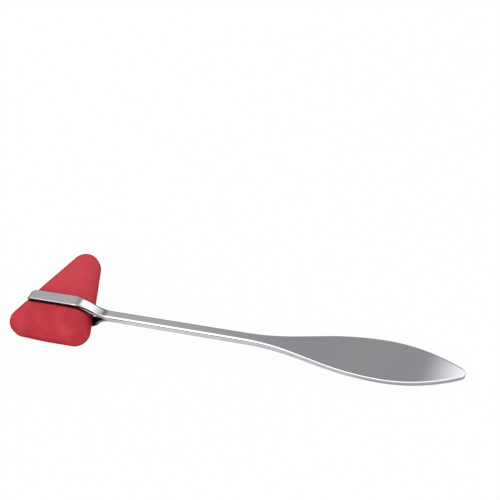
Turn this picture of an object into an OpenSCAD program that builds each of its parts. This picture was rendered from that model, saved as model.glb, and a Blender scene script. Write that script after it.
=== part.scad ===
// Taylor-pattern reflex hammer: a plated handle made in one piece, with a rubber head
// held in the loop at its end. The underside of the loop is at z = 0, and the head's centre
// is above the origin. +X runs along the handle to the tip of the blade, and +Y points
// to the narrow end of the head.

/* [Rubber head] */
// Length of the head, from its broad side to its narrow end
head_l = 49.1; // [46:0.1:54]
// Width of the head at its broad side
head_w = 41.4; // [39:0.1:42]
// Thickness of the head
head_t = 13.7; // [12.5:0.1:14.5]
// Distance that the narrow end stands out in front of the loop's middle
head_reach = 31.9; // [30:0.1:34]
// Corner radius of the narrow end
apex_r = 7; // [6:0.1:8]
// Corner radius of the broad side
base_r = 6.7; // [6:0.1:8]
// Radius of the rounding round both faces
head_edge_r = 5.7; // [3:0.1:5.9]

/* [Loop] */
// Width of the loop's band
band_w = 5.1; // [4.6:0.1:6]
// Thickness of the loop's band
band_t = 2; // [1.6:0.1:2.6]
// Distance from the middle of the head to the end of the loop's opening
opening_end = 14.5; // [14:0.1:15.5]
// Outer radius of the two corners at the end of the loop
loop_corner_r = 6; // [5:0.1:8]
// Clearance between the rubber and the loop
rubber_gap = 0.1; // [0.05:0.01:0.1]
// Size of the small bevel along the loop's outer edges
band_bevel = 0.4; // [0.2:0.05:0.6]

/* [Neck] */
// Distance from the middle of the head to the start of the neck's curve
neck_start = 11.7; // [11:0.1:13]
// Distance from the middle of the head to the end of the neck's curve
neck_end = 28.2; // [28:0.1:33]
// Radius at the bottom of the fork, where the two arms meet
crotch_r = 0.6; // [0.4:0.1:1]

/* [Shaft and blade] */
// Length of the handle, from the end of the loop to the tip of the blade
handle_l = 197.5; // [190:0.5:210]
// Width of the shaft
shaft_w = 4.2; // [3.8:0.1:4.6]
// Thickness of the shaft
shaft_t = 4; // [3.6:0.1:4.4]
// Radius of the shaft's long edges
edge_r = 1; // [0.6:0.1:1.2]
// Width of the blade at its widest place
blade_w = 17.8; // [16:0.1:20]
// Thickness of the blade
blade_t = 2.6; // [2.2:0.1:3]
// Radius of the blade's edges
blade_edge_r = 0.45; // [0.3:0.05:0.9]
// Distance from the tip of the blade back to its widest place
blade_nose_l = 30.3; // [27:0.1:33]
// Half of the angle at which the blade widens out of the shaft, in degrees
flare_angle = 11.4; // [10:0.1:12.5]
// Radius of the blade's long curves
flare_r = 111; // [95:1:120]
// Radius of the blade's tip
tip_r = 2; // [1.8:0.1:2.8]

/* [Hidden] */

// Sizes of the loop and its opening
opening_h = head_t + 2 * rubber_gap;
loop_h = opening_h + 2 * band_t;
loop_end = opening_end + band_t;
mid_z = loop_h / 2;

// The neck sinks this far inside the shaft, so that the two solids join
join_depth = 0.2;
neck_tip_t = shaft_t / 2 - join_depth;
neck_tip_w = shaft_w / 2 - join_depth;

// The neck is an S-curve of two equal arcs
neck_drop = loop_h / 2 - neck_tip_t;
neck_run = neck_end - neck_start;
neck_angle = 2 * atan(neck_drop / neck_run);
neck_r = neck_run / (2 * sin(neck_angle));
hollow_z = neck_tip_t + neck_r;

// The bottom of the fork touches the curve inside the arms
crotch_reach = neck_r + band_t + crotch_r;
crotch_x = neck_end - sqrt(pow(crotch_reach, 2) - pow(hollow_z, 2));
crotch_angle = acos(hollow_z / crotch_reach);

// Places along the blade
tip_x = handle_l - loop_end;
widest_x = tip_x - blade_nose_l;
belly_start = widest_x - flare_r * sin(flare_angle);
arc_rise = flare_r * (1 - cos(flare_angle));
straight_l = (blade_w / 2 - shaft_w / 2 - 2 * arc_rise) / tan(flare_angle);
flare_end = belly_start - straight_l;
flare_start = flare_end - flare_r * sin(flare_angle);

// The curve from the widest place to the tip touches the tip's own small circle
nose_run = blade_nose_l - tip_r;
nose_r = (pow(nose_run, 2) + pow(blade_w / 2, 2) - pow(tip_r, 2)) / (blade_w - 2 * tip_r);
nose_angle = asin(nose_run / (nose_r - tip_r));

// The tip is closed with a small blunt end
blunt_angle = 12;
blunt_t = 0.5;
corner_fill = 0.9;

// Fineness of the curves
arc_steps = 12;
tip_steps = 5;
corner_steps = 4;
hull_fn = 32;

// Places of the head's corners
head_base_y = head_l - head_reach;
apex_y = head_reach - apex_r;
base_x = head_w / 2 - base_r;
base_y = base_r - head_base_y;

// Points along an arc, from one angle to another
function arc(x, y, r, from, to, steps = arc_steps) =
    [for (i = [0 : steps])
        let (a = from + (to - from) * i / steps)
        [x + r * cos(a), y + r * sin(a)]];

// An outline from its upper half and the same points mirrored
function closed(upper) =
    concat(upper, [for (i = [len(upper) - 1 : -1 : 0]) [upper[i][0], -upper[i][1]]]);

// Upper half of the outer outline of the loop and neck, from the side
loop_outer = concat(
    arc(loop_corner_r - loop_end, mid_z - loop_corner_r, loop_corner_r, 180, 90),
    arc(neck_start, mid_z - neck_r, neck_r, 90, 90 - neck_angle),
    arc(neck_end, hollow_z, neck_r, 270 - neck_angle, 270)
);

// Upper half of the opening, whose arms keep the band's thickness down to the crotch
opening_corner_r = loop_corner_r - band_t;
loop_inner = concat(
    arc(opening_corner_r - opening_end, opening_h / 2 - opening_corner_r, opening_corner_r, 180, 90),
    arc(neck_start, mid_z - neck_r, neck_r - band_t, 90, 90 - neck_angle),
    arc(neck_end, hollow_z, neck_r + band_t, 270 - neck_angle, 270 - crotch_angle),
    arc(crotch_x, 0, crotch_r, 90 - crotch_angle, 0)
);

// Upper half of the outline of the shaft and blade from above, as [x, half width]
blade_outline = concat(
    [[crotch_x + 2 * crotch_r, shaft_w / 2]],
    arc(flare_start, shaft_w / 2 + flare_r, flare_r, 270, 270 + flare_angle),
    arc(widest_x, blade_w / 2 - flare_r, flare_r, 90 + flare_angle, 90),
    [for (p = arc(widest_x, blade_w / 2 - nose_r, nose_r, 90, 90 - nose_angle)) if (p[0] > widest_x) p],
    arc(tip_x - tip_r, 0, tip_r, 90 - nose_angle - blunt_angle, blunt_angle, tip_steps)
);

// Radius of the long edges, as [x, radius]
edge_radii = [
    [flare_start, edge_r],
    [widest_x, blade_edge_r]
];

// Half thickness of the shaft and blade, as [x, half thickness]
thickness = [
    [flare_start, shaft_t / 2],
    [widest_x, blade_t / 2],
    [tip_x - tip_r, blade_t / 2],
    [tip_x, blunt_t]
];

// One cross-section: a rectangle with rounded corners, at x, of half width w and half height h
function section(x, w, h) =
    let (r = min(lookup(x, edge_radii), corner_fill * w, corner_fill * h))
    [for (q = [0 : 3], i = [0 : corner_steps])
        let (a = 90 * (q + i / corner_steps), side = 90 * q + 45)
        [x, sign(cos(side)) * (w - r) + r * cos(a), sign(sin(side)) * (h - r) + r * sin(a)]];

// Triangles between neighbouring rings of points, with a flat face at each end
function skin(rings, n) = concat(
    [[for (i = [0 : n - 1]) i]],
    [for (k = [0 : rings - 2], i = [0 : n - 1])
        let (a = k * n + i, b = k * n + (i + 1) % n)
        each [[a, a + n, b], [b, a + n, b + n]]],
    [[for (i = [n - 1 : -1 : 0]) (rings - 1) * n + i]]
);

module shaft_and_blade() {
    rings = [for (p = blade_outline) section(p[0], p[1], lookup(p[0], thickness))];
    polyhedron([for (ring = rings) each ring], skin(len(rings), len(rings[0])));
}

// An outline in the X-Z plane, made into a slab across the handle
module side_slab(outline) {
    rotate([90, 0, 0])
        linear_extrude(band_w, center = true)
            polygon(outline);
}

// The loop and neck from above: the band's width, bevelled at the end, narrowing along the neck
module loop_plan() {
    half = band_w / 2;
    linear_extrude(loop_h, center = true)
        polygon(closed([
            [-loop_end, half - band_bevel],
            [band_bevel - loop_end, half],
            [neck_start, half],
            [neck_end, neck_tip_w]
        ]));
}

// The loop from its end: a tall slab with bevelled edges
module loop_front() {
    half = band_w / 2;
    rotate([90, 0, 90])
        linear_extrude(2 * handle_l, center = true)
            polygon([
                [-half, band_bevel - mid_z], [band_bevel - half, -mid_z],
                [half - band_bevel, -mid_z], [half, band_bevel - mid_z],
                [half, mid_z - band_bevel], [half - band_bevel, mid_z],
                [band_bevel - half, mid_z], [-half, mid_z - band_bevel]
            ]);
}

module loop_and_neck() {
    difference() {
        intersection() {
            side_slab(closed(loop_outer));
            loop_plan();
            loop_front();
        }
        scale([1, 2, 1])
            side_slab(closed(loop_inner));
    }
}

module handle() {
    color("silver")
        translate([0, 0, mid_z]) {
            loop_and_neck();
            shaft_and_blade();
        }
}

// A disc with rounded edges, which forms one corner of the head
module head_corner(r) {
    for (side = [-1, 1])
        translate([0, 0, side * (head_t / 2 - head_edge_r)])
            rotate_extrude($fn = hull_fn)
                intersection() {
                    translate([r - head_edge_r, 0])
                        circle(head_edge_r, $fn = hull_fn);
                    translate([0, -head_edge_r])
                        square([r, 2 * head_edge_r]);
                }
}

// What the end of the loop presses in: everything outside the opening's end, from a shoulder
// on the head's broad side to its narrow end
module band_seat() {
    seat_r = opening_corner_r - rubber_gap / 2;
    seat_end = arc(opening_corner_r - opening_end, opening_h / 2 - opening_corner_r, seat_r, 180, 90);
    translate([0, -band_w / 2 - rubber_gap, 0])
        rotate([90, 0, 180])
            mirror([1, 0, 0])
                linear_extrude(head_l)
                    difference() {
                        translate([-head_w, -head_t])
                            square([head_w + opening_corner_r - opening_end, 2 * head_t]);
                        polygon(closed(seat_end));
                    }
}

module rubber_head() {
    color("indianred")
        translate([0, 0, mid_z])
            difference() {
                hull() {
                    translate([0, apex_y, 0])
                        head_corner(apex_r);
                    for (side = [-1, 1])
                        translate([side * base_x, base_y, 0])
                            head_corner(base_r);
                }
                band_seat();
            }
}

handle();
rubber_head();
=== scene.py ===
"""Looks of a Taylor-pattern reflex hammer: a polished chrome handle and a moulded rubber head.

The frame's +X runs along the handle to the tip of the blade, +Y points to the narrow end of
the head, and the underside of the loop is at z = 0. Everything is in metres.
"""

import math

import bmesh
import bpy
from mathutils import Matrix, Vector


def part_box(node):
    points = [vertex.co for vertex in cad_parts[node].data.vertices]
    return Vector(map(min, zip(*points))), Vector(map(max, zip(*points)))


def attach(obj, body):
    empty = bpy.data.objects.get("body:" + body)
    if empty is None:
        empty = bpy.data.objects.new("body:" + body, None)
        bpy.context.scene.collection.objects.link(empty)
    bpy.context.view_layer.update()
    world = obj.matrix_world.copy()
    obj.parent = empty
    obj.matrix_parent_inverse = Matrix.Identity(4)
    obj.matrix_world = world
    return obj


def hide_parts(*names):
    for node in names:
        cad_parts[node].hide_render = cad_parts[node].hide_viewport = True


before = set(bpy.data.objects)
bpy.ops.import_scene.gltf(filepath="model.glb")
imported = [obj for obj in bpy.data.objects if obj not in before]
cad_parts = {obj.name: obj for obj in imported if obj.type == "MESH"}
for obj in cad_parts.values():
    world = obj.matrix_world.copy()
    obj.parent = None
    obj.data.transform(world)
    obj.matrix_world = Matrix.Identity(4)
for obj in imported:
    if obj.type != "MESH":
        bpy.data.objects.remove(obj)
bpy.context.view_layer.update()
handle_low, handle_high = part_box("handle")
head_low, head_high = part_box("rubber_head")

MM = 0.001
QUARTER = math.pi / 2

# Handle, seen from the side
MID_Z = (handle_low.z + handle_high.z) / 2
LOOP_HALF_H = handle_high.z - MID_Z
LOOP_END = handle_low.x
TIP_X = handle_high.x
BAND_T = 2.0 * MM
LOOP_CORNER_R = 6 * MM
NECK_START = 11.7 * MM
NECK_END = 28.2 * MM
CROTCH_R = 0.6 * MM
SHAFT_HALF_T = 2.0 * MM
BLADE_HALF_T = 1.3 * MM

# Handle, seen from above
BAND_HALF_W = 2.55 * MM
SHAFT_HALF_W = 2.1 * MM
BLADE_HALF_W = handle_high.y
WIDEST_X = TIP_X - 30.3 * MM
THINNING_X = WIDEST_X - 60 * MM
FLARE_R = 111 * MM
FLARE_ANGLE = math.radians(11.4)
TIP_R = 2.0 * MM

# Rounding of the handle's edges, and the stretches along X over which it changes
LOOP_EDGE_R = 0.34 * MM
LOOP_END_EDGE_R = 1.3 * MM
INNER_EDGE_R = 0.3 * MM
SHAFT_EDGE_R = 1.0 * MM
BLADE_EDGE_R = 0.45 * MM
END_FADE = (LOOP_END + 0.6 * MM, LOOP_END + LOOP_CORNER_R)
NECK_FADE = (NECK_START - 1 * MM, NECK_START + 7 * MM)
BLADE_FADE = (THINNING_X, WIDEST_X - 20 * MM)

# The rounding inside the loop fades out between these two numbers of stations before the fork's end
FORK_FADE = (8, 1)

# Fineness of the handle's mesh
WALL_STEPS = 3
CORNER_STEPS = 14
TOP_STEPS = 8
NECK_STEPS = 14
HOLLOW_STEPS = 8
CROTCH_STEPS = 5
SHAFT_STEPS = 24
FLARE_STEPS = 12
BELLY_STEPS = 14
NOSE_STEPS = 22
TIP_STEPS = 10
SIDE_STEPS = 3
EDGE_STEPS = 6
INNER_EDGE_STEPS = 3

# A row of points this far past a rounding keeps the flat beside it flat
SUPPORT = 0.15 * MM

# While the inside turns round the bottom of the fork, the outside moves on by this angle
CROTCH_LEAD = math.radians(4)

# Share by which the first stations past the fork are drawn back towards it, at the middle
CROTCH_PULL = 0.4

# Where the outline's normal has less Y than this, the edge faces the tip
ENDWAYS = 0.05

# Points closer than WELD become one, and edges shorter than SHORTEST_EDGE are dissolved
WELD = 0.002 * MM
SHORTEST_EDGE = 0.001 * MM

# Rubber head
HEAD_HALF_T = (head_high.z - head_low.z) / 2
HEAD_EDGE_R = 5.7 * MM
APEX_R = 7 * MM
BASE_R = 6.7 * MM
SIDE_BOW = 0.25 * MM
FACE_CROWN = 0.15 * MM
SEAM_HALF_W = 0.2 * MM
SEAM_HEIGHT = 0.07 * MM

# Share of the seam's height that is left halfway down its side
SEAM_SHOULDER = 0.6

# Where the loop presses the rubber
BAND_GAP = 0.1 * MM
SEAT_R = LOOP_CORNER_R - BAND_T - BAND_GAP / 2
SEAT_BLEND = 0.3 * MM
SEAT_RUN_IN = 1.5 * MM
SWELL_HEIGHT = 0.12 * MM
SWELL_WIDTH = 0.9 * MM
PRESSED_DEPTH = 0.08 * MM
PRESSED_EDGE = (BAND_HALF_W - 0.2 * MM, BAND_HALF_W + 0.3 * MM)

# Shares of the head's half thickness between which the swelling sets in
FACE_SHARE = (0.7, 1.0)

# Fineness of the head's mesh, with rows of points close together on both sides of the band's edges
HEAD_CORNER_STEPS = 20
HEAD_SIDE_STEPS = 44
HEAD_EDGE_STEPS = 14
FACE_RINGS = 16
CREASE_STEPS = (-0.2, 0.05, 0.101, 0.25, 0.5, 1.0, 1.6)
CREASES = [side * (BAND_HALF_W + step * MM) for side in (-1, 1) for step in CREASE_STEPS]

# How far the floor stays below the two places that it would touch, and its half size
FLOOR_DROP = 0.02 * MM
FLOOR_HALF_SIZE = 3.0
FLOOR_SQUARES = 8

# Camera, placed round the point it looks at
CAMERA_AIM = Vector((81.05, 48.16, 9.3)) * MM
CAMERA_DISTANCE = 268.1 * MM
CAMERA_AZIMUTH = math.radians(29.75)
CAMERA_ELEVATION = math.radians(45.95)
CAMERA_ROLL = math.radians(16.28)
CAMERA_LENS = 40.32
CAMERA_SENSOR = 36.0
CAMERA_CLIP = 0.01

# Key light: above, behind and to the left of the head
KEY_PLACE = Vector((-0.35, 0.25, 0.9))
KEY_AIM = Vector((0.05, 0, 0))
KEY_SIZE = 0.9
KEY_POWER = 1

WHITE = (1, 1, 1, 1)
SHELTER_SAMPLES = 12


# ---------------------------------------------------------------- curves

def arc(centre, radius, start, end, steps, facing=1):
    """Points and unit normals along an arc; facing is -1 where the solid is outside the circle."""
    out = []
    for i in range(steps + 1):
        a = start + (end - start) * i / steps
        way = Vector((math.cos(a), math.sin(a)))
        out.append((centre + radius * way, facing * way))
    return out


def line(start, end, normal, steps):
    """Points and normals along a straight stretch."""
    return [(start.lerp(end, i / steps), normal.copy()) for i in range(steps + 1)]


def smooth(value, low, high):
    """0 below low, 1 above high, and an S-curve between."""
    t = min(max((value - low) / (high - low), 0.0), 1.0)
    return t * t * (3 - 2 * t)


# ---------------------------------------------------------------- handle

def neck_curve():
    """Radius and angle of the two equal arcs of the neck's S-curve."""
    drop = LOOP_HALF_H - SHAFT_HALF_T
    run = NECK_END - NECK_START
    angle = 2 * math.atan(drop / run)
    return run / (2 * math.sin(angle)), angle


def side_stations():
    """Upper half of the loop and neck from the side, and how many stations lie before the fork's end.

    Each station is an outer point, its normal and the inner point across the band from it.
    """
    neck_r, neck_angle = neck_curve()
    corner = Vector((LOOP_END + LOOP_CORNER_R, LOOP_HALF_H - LOOP_CORNER_R))
    shoulder = Vector((NECK_START, LOOP_HALF_H - neck_r))
    hollow = Vector((NECK_END, SHAFT_HALF_T + neck_r))
    crotch_reach = neck_r + BAND_T + CROTCH_R
    crotch_x = NECK_END - math.sqrt(crotch_reach ** 2 - hollow.y ** 2)
    crotch_angle = math.acos(hollow.y / crotch_reach)
    fork = 3 * QUARTER - crotch_angle

    end_wall = line(Vector((LOOP_END, 0)), Vector((LOOP_END, corner.y)), Vector((-1, 0)), WALL_STEPS)
    end_corner = arc(corner, LOOP_CORNER_R, math.pi, QUARTER, CORNER_STEPS)
    flat_start = corner + Vector((0, LOOP_CORNER_R))
    top = line(flat_start, Vector((NECK_START, LOOP_HALF_H)), Vector((0, 1)), TOP_STEPS)
    convex = arc(shoulder, neck_r, QUARTER, QUARTER - neck_angle, NECK_STEPS)
    concave = arc(hollow, neck_r, 3 * QUARTER - neck_angle, fork, HOLLOW_STEPS, -1)
    stations = []
    for part in (end_wall, end_corner, top, convex, concave):
        for point, normal in part:
            stations.append((point, normal, point - BAND_T * normal))

    # The inner side turns round the bottom of the fork while the outer side moves on a little
    outer = arc(hollow, neck_r, fork, fork + CROTCH_LEAD, CROTCH_STEPS, -1)
    inner = arc(Vector((crotch_x, 0)), CROTCH_R, QUARTER - crotch_angle, 0, CROTCH_STEPS)
    for (point, normal), (inner_point, _) in zip(outer, inner):
        stations.append((point, normal, inner_point))

    # Past the fork the two arms are one bar, which meets its mirror image at the middle
    after = arc(hollow, neck_r, fork + CROTCH_LEAD, 3 * QUARTER, HOLLOW_STEPS, -1)[1:]
    for i, (point, normal) in enumerate(after):
        pull = CROTCH_PULL * (1 - (i + 1) / len(after))
        middle = Vector((point.x + pull * (crotch_x + CROTCH_R - point.x), 0))
        stations.append((point, normal, middle))
    fork_end = len(stations) - len(after)
    return stations, fork_end


def half_width(x):
    """Half width of the loop and neck at x."""
    return BAND_HALF_W + (SHAFT_HALF_W - BAND_HALF_W) * smooth(x, NECK_START, NECK_END)


def half_thickness(x):
    """Half thickness of the shaft and blade at x."""
    return SHAFT_HALF_T + (BLADE_HALF_T - SHAFT_HALF_T) * smooth(x, THINNING_X, WIDEST_X)


def loop_edge_radius(x):
    """Radius of the outer edges of the loop and neck at x."""
    radius = LOOP_EDGE_R + (SHAFT_EDGE_R - LOOP_EDGE_R) * smooth(x, *NECK_FADE)
    return radius + (LOOP_END_EDGE_R - LOOP_EDGE_R) * (1 - smooth(x, *END_FADE))


def blade_edge_radius(x):
    """Radius of the edges of the shaft and blade at x."""
    return SHAFT_EDGE_R + (BLADE_EDGE_R - SHAFT_EDGE_R) * smooth(x, *BLADE_FADE)


def plan_stations():
    """Far edge of the shaft and blade from above: points and normals, from the neck to the tip."""
    belly_start = WIDEST_X - FLARE_R * math.sin(FLARE_ANGLE)
    rise = FLARE_R * (1 - math.cos(FLARE_ANGLE))
    straight = (BLADE_HALF_W - SHAFT_HALF_W - 2 * rise) / math.tan(FLARE_ANGLE)
    flare_start = belly_start - straight - FLARE_R * math.sin(FLARE_ANGLE)
    nose_run = TIP_X - TIP_R - WIDEST_X
    nose_r = (nose_run ** 2 + BLADE_HALF_W ** 2 - TIP_R ** 2) / (2 * (BLADE_HALF_W - TIP_R))
    nose_angle = math.asin(nose_run / (nose_r - TIP_R))

    shaft_start = Vector((NECK_END, SHAFT_HALF_W))
    shaft = line(shaft_start, Vector((flare_start, SHAFT_HALF_W)), Vector((0, 1)), SHAFT_STEPS)
    flare_centre = Vector((flare_start, SHAFT_HALF_W + FLARE_R))
    flare = arc(flare_centre, FLARE_R, 3 * QUARTER, 3 * QUARTER + FLARE_ANGLE, FLARE_STEPS, -1)
    belly_centre = Vector((WIDEST_X, BLADE_HALF_W - FLARE_R))
    belly = arc(belly_centre, FLARE_R, QUARTER + FLARE_ANGLE, QUARTER, BELLY_STEPS)
    nose_centre = Vector((WIDEST_X, BLADE_HALF_W - nose_r))
    nose = arc(nose_centre, nose_r, QUARTER, QUARTER - nose_angle, NOSE_STEPS)
    tip = arc(Vector((TIP_X - TIP_R, 0)), TIP_R, QUARTER - nose_angle, 0, TIP_STEPS)
    return shaft[1:] + flare[1:] + belly + nose[1:] + tip[1:]


def outer_ring(outer, normal, inner, plan_point, plan_normal, edge_r, inner_r):
    """Points from one side's lower end, over the top, to the other side's lower end."""
    def place(base, inset, near):
        y = plan_point.y - plan_normal.y * inset
        x = base.x - plan_normal.x * inset
        return Vector((x, -y if near else y, base.y))

    top_edge = outer - normal * edge_r
    lower = inner + normal * inner_r
    far = [(lower.lerp(top_edge, i / SIDE_STEPS), 0.0) for i in range(SIDE_STEPS)]
    for i in range(EDGE_STEPS + 1):
        a = QUARTER * i / EDGE_STEPS
        far.append((outer - normal * edge_r * (1 - math.sin(a)), edge_r * (1 - math.cos(a))))
    reach = plan_point.y / plan_normal.y if plan_normal.y > ENDWAYS else edge_r
    far.append((outer, min(edge_r + SUPPORT, max(reach, edge_r))))
    ring = [place(base, inset, True) for base, inset in far]
    middle = (ring[-1] + place(far[-1][0], far[-1][1], False)) / 2
    return ring + [middle] + [place(base, inset, False) for base, inset in reversed(far)]


def inner_ring(normal, inner, half_w, inner_r):
    """Points across the inner face of the loop, between the lower ends of an outer ring."""
    far = []
    for i in range(1, INNER_EDGE_STEPS + 1):
        a = QUARTER * i / INNER_EDGE_STEPS
        base = inner + normal * inner_r * (1 - math.sin(a))
        far.append(Vector((base.x, half_w - inner_r * (1 - math.cos(a)), base.y)))
    far.append(Vector((inner.x, half_w - inner_r - SUPPORT, inner.y)))
    near = [Vector((p.x, -p.y, p.z)) for p in far]
    return far + [Vector((inner.x, 0, inner.y))] + near[::-1]


def handle_rings():
    """Rings of points along the upper half of the handle: the outer ones, and those inside the loop."""
    stations, fork_end = side_stations()
    outer_rings, inner_rings = [], []
    for i, (outer, normal, inner) in enumerate(stations):
        half_w = half_width(outer.x)
        edge_r = loop_edge_radius(outer.x)
        inner_r = INNER_EDGE_R * (1 - smooth(i, fork_end - FORK_FADE[0], fork_end - FORK_FADE[1]))
        plan = Vector((outer.x, half_w))
        outer_rings.append(outer_ring(outer, normal, inner, plan, Vector((0, 1)), edge_r, inner_r))
        if i < fork_end:
            inner_rings.append(inner_ring(normal, inner, half_w, inner_r))
    for point, normal in plan_stations():
        outer = Vector((point.x, half_thickness(point.x)))
        middle = Vector((point.x, 0))
        edge_r = blade_edge_radius(point.x)
        outer_rings.append(outer_ring(outer, Vector((0, 1)), middle, point, normal, edge_r, 0.0))
    return outer_rings, inner_rings


def bridge(bm, rows):
    """Faces between neighbouring rows of vertices."""
    for a, b in zip(rows, rows[1:]):
        for j in range(len(a) - 1):
            bm.faces.new((a[j], a[j + 1], b[j + 1], b[j]))


def ring_verts(bm, ring, way):
    """Vertices of a ring of the upper half, or of its mirror image if way is -1."""
    return [bm.verts.new((p.x, p.y, MID_Z + way * p.z)) for p in ring]


def handle_mesh():
    """One continuous surface: a half above the middle plane, and its mirror image below."""
    outer_rings, inner_rings = handle_rings()
    bm = bmesh.new()
    for way in (1, -1):
        outer_verts = [ring_verts(bm, ring, way) for ring in outer_rings]
        inner_verts = [ring_verts(bm, ring, way) for ring in inner_rings]
        bridge(bm, outer_verts)
        bridge(bm, [[o[-1]] + i + [o[0]] for o, i in zip(outer_verts, inner_verts)])
    bmesh.ops.remove_doubles(bm, verts=bm.verts, dist=WELD)
    bmesh.ops.dissolve_degenerate(bm, edges=bm.edges, dist=SHORTEST_EDGE)
    bmesh.ops.recalc_face_normals(bm, faces=bm.faces)
    return bm


# ---------------------------------------------------------------- rubber head

def head_outline():
    """The head's rounded triangle from above, with slightly bowed sides, as points round it."""
    apex = Vector((0, head_high.y - APEX_R))
    right = Vector((head_high.x - BASE_R, head_low.y + BASE_R))
    left = Vector((-right.x, right.y))
    corners = [(right, BASE_R), (apex, APEX_R), (left, BASE_R)]
    sides = []
    for i, (centre, radius) in enumerate(corners):
        after, after_r = corners[(i + 1) % 3]
        along = after - centre
        lean = math.asin((after_r - radius) / along.length)
        sides.append(math.atan2(along.y, along.x) - QUARTER - lean)
    points = []
    for i, (centre, radius) in enumerate(corners):
        start, end = sides[i - 1], sides[i]
        while end < start:
            end += 2 * math.pi
        points += [p for p, _ in arc(centre, radius, start, end, HEAD_CORNER_STEPS)]
        after, after_r = corners[(i + 1) % 3]
        out = Vector((math.cos(end), math.sin(end)))
        first, last = centre + radius * out, after + after_r * out
        for k in range(1, HEAD_SIDE_STEPS):
            t = k / HEAD_SIDE_STEPS
            bow = SIDE_BOW * math.sin(math.pi * t) ** 2
            points.append(first.lerp(last, t) + bow * out)
    return points


def outline_normals(points):
    """Unit normals of a closed outline that runs anticlockwise."""
    out = []
    for i in range(len(points)):
        along = points[(i + 1) % len(points)] - points[i - 1]
        out.append(Vector((along.y, -along.x)).normalized())
    return out


def head_profile():
    """The head's edge from the middle plane up to the face, as (inset, height)."""
    wall_h = HEAD_HALF_T - HEAD_EDGE_R
    seam = [(-SEAM_HEIGHT, 0.0), (-SEAM_SHOULDER * SEAM_HEIGHT, SEAM_HALF_W / 2)]
    rows = seam + [(0.0, SEAM_HALF_W), (0.0, wall_h / 2)]
    for i in range(HEAD_EDGE_STEPS + 1):
        a = QUARTER * i / HEAD_EDGE_STEPS
        rows.append((HEAD_EDGE_R * (1 - math.cos(a)), wall_h + HEAD_EDGE_R * math.sin(a)))
    return rows


def seated(point):
    """Moves a point inside the rounded end of the loop's opening, with a soft edge to the seat."""
    corner = Vector((LOOP_END + LOOP_CORNER_R, LOOP_HALF_H - LOOP_CORNER_R))
    over = Vector((point.x - corner.x, max(abs(point.z) - corner.y, 0.0)))
    if point.y <= -BAND_HALF_W - BAND_GAP or over.x >= 0:
        return point
    reach = over.length
    near = max(SEAT_BLEND - abs(reach - SEAT_R), 0.0) ** 2 / (4 * SEAT_BLEND)
    near *= smooth(-over.x, 0, SEAT_RUN_IN)
    scale = (min(reach, SEAT_R) - near) / reach
    height = min(abs(point.z), corner.y) + over.y * scale
    return Vector((corner.x + over.x * scale, point.y, math.copysign(height, point.z)))


def squeeze(point):
    """Moves a point of the head as the loop presses it: seated at the end, swollen beside the band."""
    point = seated(point)
    on_face = smooth(abs(point.z) / HEAD_HALF_T, *FACE_SHARE)
    beside = math.exp(-((abs(point.y) - BAND_HALF_W - SWELL_WIDTH) / SWELL_WIDTH) ** 2)
    pressed = 1 - smooth(abs(point.y), *PRESSED_EDGE)
    swell = (SWELL_HEIGHT * beside - PRESSED_DEPTH * pressed) * on_face
    point.z += math.copysign(swell, point.z)
    return point


def head_rows():
    """The upper half of the head, as rows of (point, height) from the middle plane to near the centre."""
    outline = head_outline()
    normals = outline_normals(outline)
    centre = sum(outline, Vector((0, 0))) / len(outline)
    inner = [p - n * HEAD_EDGE_R for p, n in zip(outline, normals)]
    rows = [[(p - n * inset, height) for p, n in zip(outline, normals)] for inset, height in head_profile()]
    for k in range(1, FACE_RINGS):
        t = k / FACE_RINGS
        crown = FACE_CROWN * (1 - (1 - t) ** 2)
        rows.append([(p.lerp(centre, t), HEAD_HALF_T + crown) for p in inner])
    return rows, centre


def head_mesh():
    """The head as rings from the middle plane to the centre of each face."""
    rows, centre = head_rows()
    bm = bmesh.new()
    for way in (1, -1):
        rings = [[bm.verts.new((p.x, p.y, way * height)) for p, height in row] for row in rows]
        bridge(bm, [ring + ring[:1] for ring in rings])
        top = bm.verts.new((centre.x, centre.y, way * (HEAD_HALF_T + FACE_CROWN)))
        last = rings[-1]
        for a, b in zip(last, last[1:] + last[:1]):
            bm.faces.new((a, b, top))
    bmesh.ops.remove_doubles(bm, verts=bm.verts, dist=WELD)
    for y in CREASES:
        everything = bm.verts[:] + bm.edges[:] + bm.faces[:]
        bmesh.ops.bisect_plane(bm, geom=everything, plane_co=(0, y, 0), plane_no=(0, 1, 0))
    for vert in bm.verts:
        vert.co = squeeze(vert.co.copy()) + Vector((0, 0, MID_Z))
    bmesh.ops.recalc_face_normals(bm, faces=bm.faces)
    return bm


# ---------------------------------------------------------------- nodes

def add(tree, kind, inputs=None, **settings):
    """A new node with its settings; an input is a value or another node's output socket."""
    node = tree.nodes.new(kind)
    for key, value in settings.items():
        setattr(node, key, value)
    for key, value in (inputs or {}).items():
        if isinstance(value, bpy.types.NodeSocket):
            tree.links.new(value, node.inputs[key])
        else:
            node.inputs[key].default_value = value
    return node


def math_node(tree, operation, a, b=0.0):
    return add(tree, "ShaderNodeMath", {0: a, 1: b}, operation=operation).outputs[0]


def plus(tree, a, b):
    return math_node(tree, "ADD", a, b)


def minus(tree, a, b):
    return math_node(tree, "SUBTRACT", a, b)


def larger(tree, a, b):
    return math_node(tree, "MAXIMUM", a, b)


def size_of(tree, value):
    """A value without its sign."""
    return math_node(tree, "ABSOLUTE", value)


def times(tree, first, *others):
    """The product of all the values."""
    for value in others:
        first = math_node(tree, "MULTIPLY", first, value)
    return first


def ramp(tree, factor, limits, out_low=0.0, out_high=1.0):
    """A smooth step of factor between two limits, as a value from out_low to out_high."""
    inputs = {
        "Value": factor, "From Min": limits[0], "From Max": limits[1], "To Min": out_low, "To Max": out_high,
    }
    return add(tree, "ShaderNodeMapRange", inputs, interpolation_type="SMOOTHSTEP").outputs[0]


def stretch_of(tree, value, rise, fall):
    """1 between the rise and the fall of a value, and 0 on both sides."""
    return times(tree, ramp(tree, value, rise), ramp(tree, value, fall, 1, 0))


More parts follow.
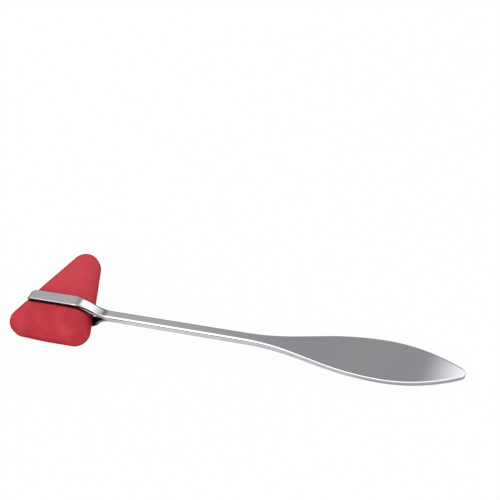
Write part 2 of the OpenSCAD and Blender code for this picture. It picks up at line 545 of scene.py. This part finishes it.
def mix_value(tree, factor, a, b):
    return add(tree, "ShaderNodeMix", {"Factor": factor, 2: a, 3: b}, data_type="FLOAT").outputs[0]


def mix_colour(tree, factor, a, b):
    return add(tree, "ShaderNodeMix", {"Factor": factor, 6: a, 7: b}, data_type="RGBA").outputs[2]


def mix_shader(tree, factor, a, b):
    return add(tree, "ShaderNodeMixShader", {0: factor, 1: a, 2: b}).outputs[0]


def glow(tree, strength, kind="ShaderNodeEmission"):
    """White light of one strength, from a surface or from the background."""
    return add(tree, kind, {"Color": WHITE, "Strength": strength}).outputs[0]


def parts_of(tree, vector):
    """The X, Y and Z of a vector."""
    return add(tree, "ShaderNodeSeparateXYZ", {0: vector}).outputs


def place_in_object(tree):
    """The place on the object, in its own metres."""
    return add(tree, "ShaderNodeTexCoord").outputs["Object"]


def new_material(name):
    material = bpy.data.materials.new(name)
    material.use_nodes = True
    tree = material.node_tree
    tree.nodes.clear()
    output = add(tree, "ShaderNodeOutputMaterial")
    return material, tree, output


def noise(tree, scale, detail, stretch=(1, 1, 1)):
    """Noise over the object's own metres, finer by the three factors of stretch."""
    mapped = add(tree, "ShaderNodeMapping", {"Vector": place_in_object(tree), "Scale": stretch}).outputs[0]
    return add(tree, "ShaderNodeTexNoise", {"Vector": mapped, "Scale": scale, "Detail": detail}).outputs[0]


def bump(tree, height, strength, distance, under=None):
    """A bumped normal, on top of another one if it is given."""
    inputs = {"Height": height, "Strength": strength, "Distance": distance}
    if under is not None:
        inputs["Normal"] = under
    return add(tree, "ShaderNodeBump", inputs).outputs[0]


def shelter(tree, reach, limits):
    """0 in narrow corners and 1 in the open, judged by how much is within reach of the surface."""
    node = add(tree, "ShaderNodeAmbientOcclusion", {"Distance": reach}, samples=SHELTER_SAMPLES)
    return ramp(tree, node.outputs["AO"], limits)


# ---------------------------------------------------------------- chrome

# Cloudiness, buffing marks and waviness of the plating
CHROME_CLOUD = {"scale": 60, "detail": 3}
CHROME_BUFF = {"scale": 5200, "detail": 4, "stretch": (0.04, 1, 1)}
CHROME_WAVE = {"scale": 45, "detail": 1}
WAVE_BUMP = {"strength": 0.05, "distance": 0.4 * MM}
BUFF_BUMP = {"strength": 0.06, "distance": 0.01 * MM}
CLOUD_LIMITS = (0.3, 0.7)
BUFF_LIMITS = (0.4, 0.8)
CLOUD_ROUGHNESS = (0.02, 0.05)
BUFF_ROUGHNESS = 0.04
NECK_ROUGHNESS = 0.14
SIDE_ROUGHNESS = 0.2
SATIN = 0.75
PAINTED_GREY_SHARE = 0.62

CHROME_TINTS = ((0.90, 0.885, 0.935, 1), (0.93, 0.915, 0.96, 1))
# Near black painted shade for the corners
CHROME_CORNER_SHADE = (0.012, 0.010, 0.010, 1)
# A painted grey reflection for the neck
CHROME_PAINTED_GREY = (0.25, 0.25, 0.26, 1)
CHROME_SHADE = (0.01, 0.01, 0.01, 1)

# How far a surface turns to the side, as the size of its normal's Y
FLANK = (0.90, 0.98)
SHOULDER_RISE = (0.38, 0.52)
SHOULDER_FALL = (0.90, 0.97)

# Stretches along the handle where the neck's shades begin and end
UPPER_SIDE_START = (14 * MM, 19 * MM)
LOWER_SIDE_START = (17 * MM, 24 * MM)
OPEN_SHAFT = (24 * MM, 30 * MM)
# Where the painted grey reflection on the neck begins and ends
PAINTED_GREY_START = (19.5 * MM, 24 * MM)
PAINTED_GREY_END = (25 * MM, 27.5 * MM)
SHOULDER_START = (12.5 * MM, 15 * MM)
SHOULDER_END = (20 * MM, 25 * MM)
ROUGH_START = (10 * MM, 14 * MM)
ROUGH_END = (27 * MM, 33 * MM)
SATIN_END = (26 * MM, 31 * MM)

# Heights at which the upper and the lower arm begin
UPPER_ARM = (MID_Z - 1 * MM, MID_Z + 1 * MM)
LOWER_ARM = (MID_Z - 1 * MM, MID_Z - 2 * MM)
ABOVE_MIDDLE = (MID_Z, MID_Z + 1 * MM)

# Painted shade: the plating turns near black where much lies within this reach
CORNER_REACH = 6 * MM
CORNER_LIMITS = (0.62, 0.90)


def chrome_shades(tree):
    """Masks of the plating, from 0 to 1: painted shade in corners, and on the neck painted shade and a
    painted grey reflection where the photo shows them.
    """
    place = parts_of(tree, place_in_object(tree))
    normal = add(tree, "ShaderNodeNewGeometry").outputs["Normal"]
    slope = size_of(tree, parts_of(tree, normal)["Y"])
    x, z = place["X"], place["Z"]

    flank = ramp(tree, slope, FLANK)
    upper = times(tree, ramp(tree, x, UPPER_SIDE_START), ramp(tree, z, UPPER_ARM))
    lower = times(tree, ramp(tree, x, LOWER_SIDE_START), ramp(tree, z, LOWER_ARM))
    sides = times(tree, flank, larger(tree, upper, lower))
    clear = larger(tree, ramp(tree, x, OPEN_SHAFT), sides)
    # Painted shade in corners, except on the neck's sides and along the shaft
    opening = larger(tree, shelter(tree, CORNER_REACH, CORNER_LIMITS), clear)

    # A painted grey reflection that cuts the neck's highlight short
    painted_grey = times(tree, stretch_of(tree, x, PAINTED_GREY_START, PAINTED_GREY_END), PAINTED_GREY_SHARE)
    shoulder = stretch_of(tree, slope, SHOULDER_RISE, SHOULDER_FALL)
    along = stretch_of(tree, x, SHOULDER_START, SHOULDER_END)
    shaded = times(tree, shoulder, along, ramp(tree, z, ABOVE_MIDDLE))
    upper_side = times(tree, flank, upper)
    near_neck = stretch_of(tree, x, ROUGH_START, ROUGH_END)
    satin = times(tree, upper_side, ramp(tree, x, SATIN_END, SATIN, 0))
    return {
        "open": opening,
        "painted_grey": painted_grey,
        "shaded": shaded,
        "upper_side": upper_side,
        "near_neck": near_neck,
        "satin": satin,
    }


def chrome():
    """Polished plating: faint buffing marks along the handle, cloudy in places, with painted shade in its
    corners and a painted grey reflection on the neck.
    """
    material, tree, output = new_material("polished_chrome")
    cloud = noise(tree, **CHROME_CLOUD)
    buff = noise(tree, **CHROME_BUFF)
    wave = noise(tree, **CHROME_WAVE)
    shades = chrome_shades(tree)

    colour = mix_colour(tree, ramp(tree, cloud, CLOUD_LIMITS), *CHROME_TINTS)
    # Painted shade in corners
    colour = mix_colour(tree, shades["open"], CHROME_CORNER_SHADE, colour)
    # A painted grey reflection on the neck
    colour = mix_colour(tree, shades["painted_grey"], colour, CHROME_PAINTED_GREY)
    colour = mix_colour(tree, shades["shaded"], colour, CHROME_SHADE)

    clouded = ramp(tree, cloud, CLOUD_LIMITS, *CLOUD_ROUGHNESS)
    roughness = plus(tree, clouded, ramp(tree, buff, BUFF_LIMITS, 0, BUFF_ROUGHNESS))
    roughness = plus(tree, roughness, times(tree, shades["near_neck"], NECK_ROUGHNESS))
    roughness = plus(tree, roughness, times(tree, shades["upper_side"], SIDE_ROUGHNESS))

    waved = bump(tree, wave, **WAVE_BUMP)
    shader = add(tree, "ShaderNodeBsdfPrincipled", {
        "Base Color": colour,
        "Metallic": minus(tree, 1.0, shades["satin"]),
        "Roughness": roughness,
        "Normal": bump(tree, buff, under=waved, **BUFF_BUMP),
    })
    tree.links.new(shader.outputs[0], output.inputs["Surface"])
    return material


# ---------------------------------------------------------------- rubber

# Clouding, bloom and pebble of the rubber
RUBBER_CLOUD = {"scale": 150, "detail": 4, "stretch": (0.8, 0.8, 1)}
RUBBER_BLOOM = {"scale": 420, "detail": 4}
RUBBER_PEBBLE = {"scale": 2600, "detail": 3}
SOFT_BUMP = {"strength": 0.12, "distance": 0.3 * MM}
PEBBLE_BUMP = {"strength": 0.15, "distance": 0.05 * MM}
RUBBER_CLOUD_LIMITS = (0.35, 0.68)
BLOOM_LIMITS = (0.45, 0.85)
BLOOM_AMOUNT = 0.3
RUBBER_ROUGHNESS_LIMITS = (0.3, 0.7)
RUBBER_ROUGHNESS = (0.48, 0.62)
RUBBER_GLOSS = 0.32
GLOSS_LIMITS = (0.3, 0.75)

RUBBER_TINTS = ((0.520, 0.018, 0.033, 1), (0.600, 0.032, 0.053, 1))
RUBBER_BLOOM_TINT = (0.60, 0.05, 0.075, 1)
NARROW_END_TINT = (0.64, 0.058, 0.082, 1)
# Painted shade round the rim
RUBBER_RIM_SHADE = (0.25, 0.010, 0.040, 1)
# Painted shade in the creases by the band
RUBBER_CREASE_SHADE = (0.03, 0.004, 0.005, 1)
# Painted shade inside the fork
RUBBER_FORK_SHADE = (0.02, 0.004, 0.005, 1)

NARROW_END = (-5 * MM, 14 * MM)
NARROW_END_AMOUNT = 0.55
FACING_BLEND = 0.5
# Painted shade where the surface turns away from the camera
RIM_LIMITS = (0.58, 0.9)
RIM_AMOUNT = 0.8
# Painted shade within this reach of the band
CREASE_REACH = 2.0 * MM
CREASE_LIMITS = (0.5, 0.78)
# Painted shade within this reach near the neck's fork
FORK_REACH = 6 * MM
FORK_LIMITS = (0.45, 0.80)
FORK_START = (9 * MM, 13 * MM)


def rubber():
    """Moulded red rubber: soft clouding, a matt bloom, a fine pebble, and painted shade round its rim, by
    the band and in the fork.
    """
    material, tree, output = new_material("red_rubber")
    cloud = noise(tree, **RUBBER_CLOUD)
    patch = noise(tree, **RUBBER_BLOOM)
    pebble = noise(tree, **RUBBER_PEBBLE)
    place = parts_of(tree, place_in_object(tree))
    facing = add(tree, "ShaderNodeLayerWeight", {"Blend": FACING_BLEND}).outputs["Facing"]

    colour = mix_colour(tree, ramp(tree, cloud, RUBBER_CLOUD_LIMITS), *RUBBER_TINTS)
    colour = mix_colour(tree, ramp(tree, patch, BLOOM_LIMITS, 0, BLOOM_AMOUNT), colour, RUBBER_BLOOM_TINT)
    narrow_end = ramp(tree, place["Y"], NARROW_END, 0, NARROW_END_AMOUNT)
    colour = mix_colour(tree, narrow_end, colour, NARROW_END_TINT)
    # Painted shade round the rim where the surface turns away
    colour = mix_colour(tree, ramp(tree, facing, RIM_LIMITS, 0, RIM_AMOUNT), colour, RUBBER_RIM_SHADE)
    # Painted shade in the creases by the band
    colour = mix_colour(tree, shelter(tree, CREASE_REACH, CREASE_LIMITS), RUBBER_CREASE_SHADE, colour)
    # Painted shade near the neck's fork
    away_from_fork = ramp(tree, place["X"], FORK_START, 1, 0)
    out_of_fork_shade = larger(tree, shelter(tree, FORK_REACH, FORK_LIMITS), away_from_fork)
    colour = mix_colour(tree, out_of_fork_shade, RUBBER_FORK_SHADE, colour)

    soft = bump(tree, patch, **SOFT_BUMP)
    shader = add(tree, "ShaderNodeBsdfPrincipled", {
        "Base Color": colour,
        "Roughness": ramp(tree, patch, RUBBER_ROUGHNESS_LIMITS, *RUBBER_ROUGHNESS),
        "Normal": bump(tree, pebble, under=soft, **PEBBLE_BUMP),
        "Specular IOR Level": ramp(tree, facing, GLOSS_LIMITS, RUBBER_GLOSS, 0.0),
    })
    tree.links.new(shader.outputs[0], output.inputs["Surface"])
    return material


# ---------------------------------------------------------------- floor

PAPER_TONE = {"scale": 9, "detail": 3}
PAPER_TINTS = ((0.80, 0.80, 0.80, 1), (0.84, 0.84, 0.84, 1))
SEEN_AS_WHITE = 0.97

# How steeply a reflected ray meets the floor, from 0 to 1, and the light that the metal sees there
FAR_OFF = (0.27, 0.43)
FAR_OFF_LIGHT = 0.02
BELOW = (0.66, 0.88)
BELOW_LIGHT = 0.3

# The grey below is weaker where the ray comes down from further along +X
BELOW_SIDEWAYS = (0.12, 0.30)
BELOW_AMOUNT = (0.85, 0.4)


def floor_paper():
    """White paper that the camera sees evenly lit; in the metal it is greyer below and dark far off."""
    material, tree, output = new_material("floor_paper")
    colour = mix_colour(tree, noise(tree, **PAPER_TONE), *PAPER_TINTS)
    shaded = add(tree, "ShaderNodeBsdfDiffuse", {"Color": colour}).outputs[0]
    path = add(tree, "ShaderNodeLightPath").outputs
    incoming = parts_of(tree, add(tree, "ShaderNodeNewGeometry").outputs["Incoming"])
    steep = size_of(tree, incoming["Z"])

    amount = ramp(tree, incoming["X"], BELOW_SIDEWAYS, *BELOW_AMOUNT)
    below = times(tree, ramp(tree, steep, BELOW, 0, amount), path["Is Glossy Ray"])
    far_off = times(tree, ramp(tree, steep, FAR_OFF, 1, 0), path["Is Glossy Ray"])
    reflected = mix_shader(tree, below, shaded, glow(tree, BELOW_LIGHT))
    reflected = mix_shader(tree, far_off, reflected, glow(tree, FAR_OFF_LIGHT))
    seen = times(tree, path["Is Camera Ray"], SEEN_AS_WHITE)
    shader = mix_shader(tree, seen, reflected, glow(tree, 1.0))
    tree.links.new(shader, output.inputs["Surface"])
    return material


# ---------------------------------------------------------------- pieces

def piece(name, bm, material, body, node):
    """A finished mesh that stands for a CAD node and moves with its body."""
    mesh = bpy.data.meshes.new(name)
    bm.to_mesh(mesh)
    bm.free()
    mesh.shade_smooth()
    mesh.materials.append(material)
    obj = bpy.data.objects.new(name, mesh)
    bpy.context.scene.collection.objects.link(obj)
    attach(obj, body)
    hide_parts(node)
    return obj


# ---------------------------------------------------------------- studio

def build_floor(material):
    """A wide pale sheet, tilted to pass just under the loop and the tip, as if the hammer lay on it."""
    rise = math.atan((MID_Z - BLADE_HALF_T) / (TIP_X - NECK_START))
    bm = bmesh.new()
    bmesh.ops.create_grid(bm, x_segments=FLOOR_SQUARES, y_segments=FLOOR_SQUARES, size=FLOOR_HALF_SIZE)
    tilt = Matrix.Rotation(-rise, 4, "Y")
    place = Matrix.Translation((NECK_START, 0, -FLOOR_DROP))
    bmesh.ops.transform(bm, matrix=place @ tilt, verts=bm.verts)
    mesh = bpy.data.meshes.new("floor")
    bm.to_mesh(mesh)
    bm.free()
    mesh.materials.append(material)
    floor = bpy.data.objects.new("floor", mesh)
    bpy.context.scene.collection.objects.link(floor)


# The studio that the chrome reflects. A pair is a range of a direction's X, Y or Z, or the two
# strengths at the ends of such a range where its name ends in LIGHT or SHARES.
NEAR_SIDE = (-0.12, 0.02)
NEAR_SIDE_LIGHT = (1.7, 1.1)
LEFT_END = (-0.60, -0.50)
LEFT_END_SHARE = 0.7
BEYOND = (0.12, 0.34)
BACKDROP_SLANT = 0.25
BACKDROP_STEP_Y = (0.53, 0.60)
BACKDROP_STEP = 0.16
BACKDROP_EDGE = (-0.165, -0.08)
BACKDROP_X = (-0.55, -0.20)
BACKDROP_LIGHT = (0.42, 0.285)
OVERHEAD = (0.30, 0.42)
OVERHEAD_SHARE = 0.45

# Its dark horizon, and the directions where the horizon is lighter
HORIZON = (0.10, 0.28)
HORIZON_SHARE = 0.02
LIFT_X = (0.0, 0.3)
LIFT = 0.16
FAR_SIDE = (0.0, 0.2)
FAR_LEFT = (-0.85, -0.6)
FAR_LEFT_SHARE = 0.8
FAR_RIGHT = (-0.05, 0.05)
FAR_RIGHT_SHARES = (0.12, 0.5)
RIGHT_END = (0.56, 0.68)
RIGHT_END_SHARE = 0.4

# The even light that falls on everything else
SKY = (-0.2, 0.6)
SKY_LIGHT = (0.95, 0.92)


def studio_above(tree, way):
    """What the metal sees above the horizon: white, a grey backdrop beyond the hammer, grey overhead."""
    x, y, z = way["X"], way["Y"], way["Z"]
    slant = minus(tree, x, times(tree, y, BACKDROP_SLANT))
    slant = minus(tree, slant, ramp(tree, y, BACKDROP_STEP_Y, 0, BACKDROP_STEP))
    backdrop = times(tree, ramp(tree, y, BEYOND), ramp(tree, slant, BACKDROP_EDGE, 1, 0))
    grey = ramp(tree, x, BACKDROP_X, *BACKDROP_LIGHT)
    near_side = ramp(tree, y, NEAR_SIDE, *NEAR_SIDE_LIGHT)
    white = times(tree, near_side, ramp(tree, x, LEFT_END, LEFT_END_SHARE, 1))
    aside = math_node(tree, "SQRT", minus(tree, 1.0, times(tree, z, z)))
    overhead = ramp(tree, aside, OVERHEAD, OVERHEAD_SHARE, 1)
    return times(tree, mix_value(tree, backdrop, white, grey), overhead)


def studio_horizon(tree, way):
    """How much of that light is left near the horizon."""
    x, y, z = way["X"], way["Y"], way["Z"]
    height = minus(tree, z, ramp(tree, x, LIFT_X, 0, LIFT))
    horizon = ramp(tree, height, HORIZON, HORIZON_SHARE, 1)
    left = ramp(tree, x, FAR_LEFT, FAR_LEFT_SHARE, 0)
    right = ramp(tree, x, FAR_RIGHT, *FAR_RIGHT_SHARES)
    far_side = times(tree, ramp(tree, y, FAR_SIDE), plus(tree, left, right))
    least = larger(tree, far_side, ramp(tree, x, RIGHT_END, 0, RIGHT_END_SHARE))
    return larger(tree, horizon, least)


def build_world():
    """A white studio that is grey beyond the hammer, with a dark horizon that is seen in the metal."""
    world = bpy.data.worlds.new("studio")
    bpy.context.scene.world = world
    world.use_nodes = True
    tree = world.node_tree
    tree.nodes.clear()
    way = parts_of(tree, add(tree, "ShaderNodeTexCoord").outputs["Generated"])
    studio = times(tree, studio_above(tree, way), studio_horizon(tree, way))
    path = add(tree, "ShaderNodeLightPath").outputs
    glossy = glow(tree, studio, "ShaderNodeBackground")
    diffuse = glow(tree, ramp(tree, way["Z"], SKY, *SKY_LIGHT), "ShaderNodeBackground")
    plain = glow(tree, 1.0, "ShaderNodeBackground")
    lighting = mix_shader(tree, path["Is Glossy Ray"], diffuse, glossy)
    shader = mix_shader(tree, path["Is Camera Ray"], lighting, plain)
    output = add(tree, "ShaderNodeOutputWorld")
    tree.links.new(shader, output.inputs["Surface"])


def build_key_light():
    """A large soft light above, behind and to the left of the head."""
    data = bpy.data.lights.new("key", "AREA")
    data.shape = "DISK"
    data.size = KEY_SIZE
    data.energy = KEY_POWER
    light = bpy.data.objects.new("key", data)
    light.location = KEY_PLACE
    light.rotation_euler = (KEY_AIM - KEY_PLACE).to_track_quat("-Z", "Y").to_euler()
    light.visible_glossy = False
    bpy.context.scene.collection.objects.link(light)


def build_camera():
    """The camera, turned and rolled round the point it looks at."""
    data = bpy.data.cameras.new("camera")
    data.lens = CAMERA_LENS
    data.sensor_width = CAMERA_SENSOR
    data.clip_start = CAMERA_CLIP
    flat = math.cos(CAMERA_ELEVATION)
    ahead = Vector((
        -math.sin(CAMERA_AZIMUTH) * flat,
        math.cos(CAMERA_AZIMUTH) * flat,
        -math.sin(CAMERA_ELEVATION),
    ))
    level = ahead.cross(Vector((0, 0, 1))).normalized()
    level_up = level.cross(ahead)
    up = level_up * math.cos(CAMERA_ROLL) + level * math.sin(CAMERA_ROLL)
    right = ahead.cross(up)
    camera = bpy.data.objects.new("camera", data)
    turn = Matrix((right, up, -ahead)).transposed().to_4x4()
    camera.matrix_world = Matrix.Translation(CAMERA_AIM - CAMERA_DISTANCE * ahead) @ turn
    bpy.context.scene.collection.objects.link(camera)
    bpy.context.scene.camera = camera


piece("chrome_handle", handle_mesh(), chrome(), "handle", "handle")
piece("moulded_head", head_mesh(), rubber(), "head", "rubber_head")
build_floor(floor_paper())
build_world()
build_key_light()
build_camera()
bpy.context.scene.view_settings.view_transform = "Standard"
